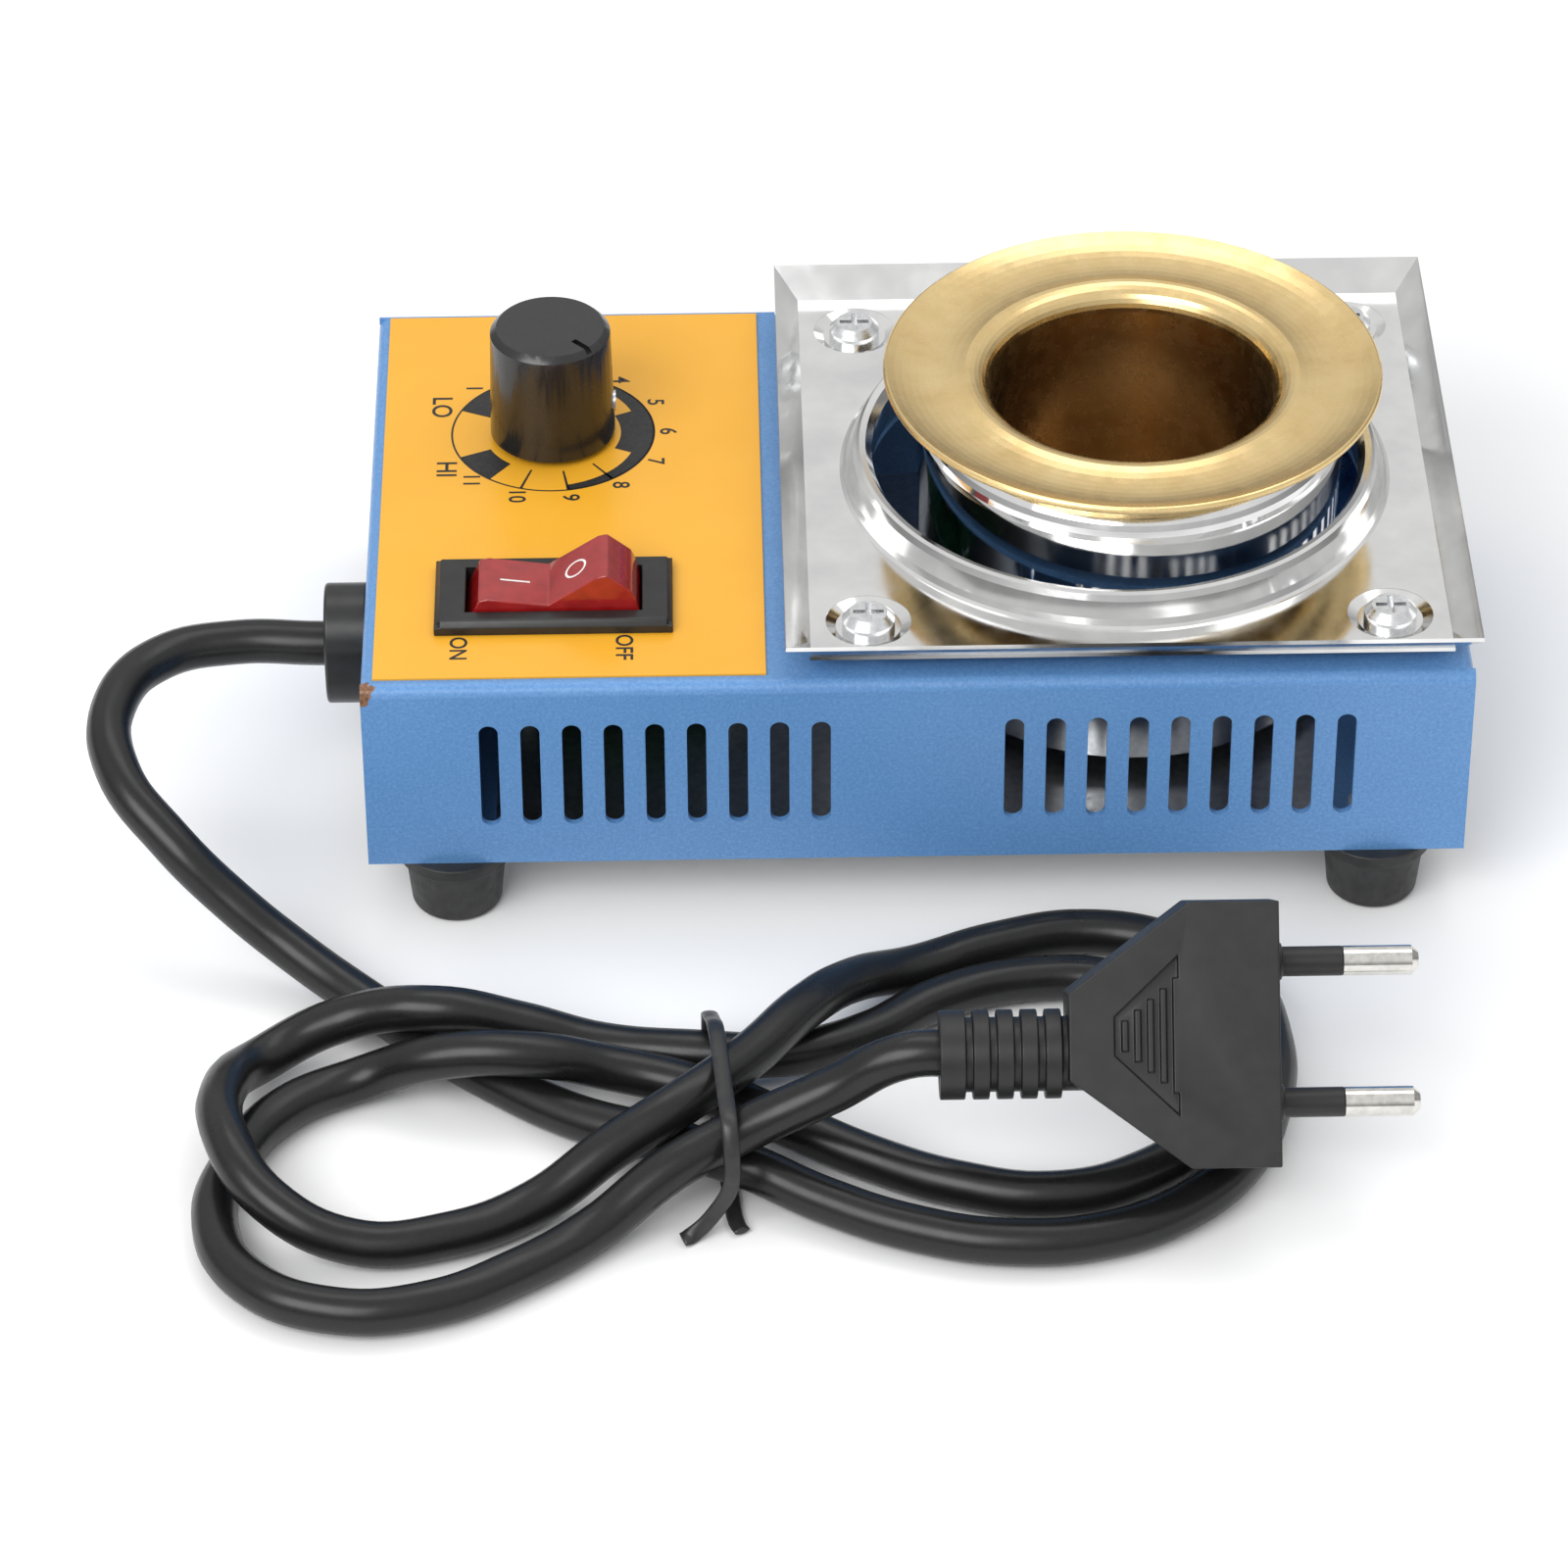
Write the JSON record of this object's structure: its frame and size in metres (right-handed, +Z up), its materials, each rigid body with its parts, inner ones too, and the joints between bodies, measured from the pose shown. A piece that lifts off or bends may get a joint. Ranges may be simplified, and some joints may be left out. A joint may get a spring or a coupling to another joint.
{
  "type": "solder pot",
  "caption": "Bench solder pot: folded blue steel housing with a polished drip tray, flared pot in a round can, temperature knob, rocker switch and mains lead.",
  "frame": {"origin": "centre of the footprint at bench level, the lead and plug left out", "axes": "+X to the right end where the pot is, +Y to the back, +Z up"},
  "size_m": [0.1944, 0.1856, 0.0618],
  "materials": {
    "housing_paint": "speckled satin powder coat",
    "zinc_sheet": "plain zinc-plated sheet",
    "foot_rubber": "matt",
    "screw_steel": "bright plated",
    "label_film": "satin yellow print",
    "tray_steel": "polished stainless",
    "pot_metal": "heat-tinted satin",
    "heater_steel": "dull",
    "insulation": "matt fibre",
    "can_steel": "mirror polished stainless",
    "knob_plastic": "glossy black",
    "control_case": "moulded",
    "shaft_metal": "turned",
    "switch_black": "satin black",
    "rocker_red": "translucent red",
    "terminal_brass": "stamped",
    "board_green": "solder-masked board",
    "part_black": "moulded",
    "heatsink_alu": "extruded",
    "capacitor_film": "dipped",
    "block_green": "moulded",
    "gland_black": "moulded",
    "cord_pvc": "satin black sheath",
    "plug_black": "matt moulded",
    "pin_nickel": "nickel plated",
    "tie_black": "plastic-coated wire"
  },
  "bodies": {
    "base": {"housing": "housing_paint", "base_plate": "zinc_sheet", "foot_1": "foot_rubber", "foot_2": "foot_rubber", "foot_3": "foot_rubber", "foot_4": "foot_rubber", "foot_screws": "screw_steel", "foot_nuts": "screw_steel", "label_plate": "label_film", "drip_tray": "tray_steel", "tray_spacers": "screw_steel", "tray_screws": "screw_steel", "tray_nuts": "screw_steel", "solder_pot": "pot_metal", "heater_band": "heater_steel", "band_screw": "screw_steel", "insulation_sleeve": "insulation", "insulation_pad": "insulation", "can": "can_steel", "can_spacer": "insulation", "can_bolt": "screw_steel", "can_nut": "screw_steel", "control_body": "control_case", "control_nut": "screw_steel", "switch_body": "switch_black", "switch_terminals": "terminal_brass", "control_board": "board_green", "board_pillars": "screw_steel", "board_screws": "screw_steel", "triac": "part_black", "heatsink": "heatsink_alu", "capacitor": "capacitor_film", "terminal_block": "block_green", "cord_gland": "gland_black", "power_cord": "cord_pvc", "plug_body": "plug_black", "plug_pin_1": "pin_nickel", "plug_pin_2": "pin_nickel", "cord_tie": "tie_black"},
    "knob_body": {"knob": "knob_plastic", "knob_set_screw": "screw_steel", "control_shaft": "shaft_metal"},
    "rocker_body": {"rocker": "rocker_red"}
  },
  "joints": [
    {"name": "knob_turn", "type": "hinge", "parent": "base", "child": "knob_body", "pos_m": [-0.05153, 0.0146, 0.0412], "axis": [0, 0, 1], "range_deg": [-88, 182]},
    {"name": "rocker_tilt", "type": "hinge", "parent": "base", "child": "rocker_body", "pos_m": [-0.05103, -0.027, 0.0412], "axis": [0, 1, 0], "range_deg": [0, 26]}
  ]
}
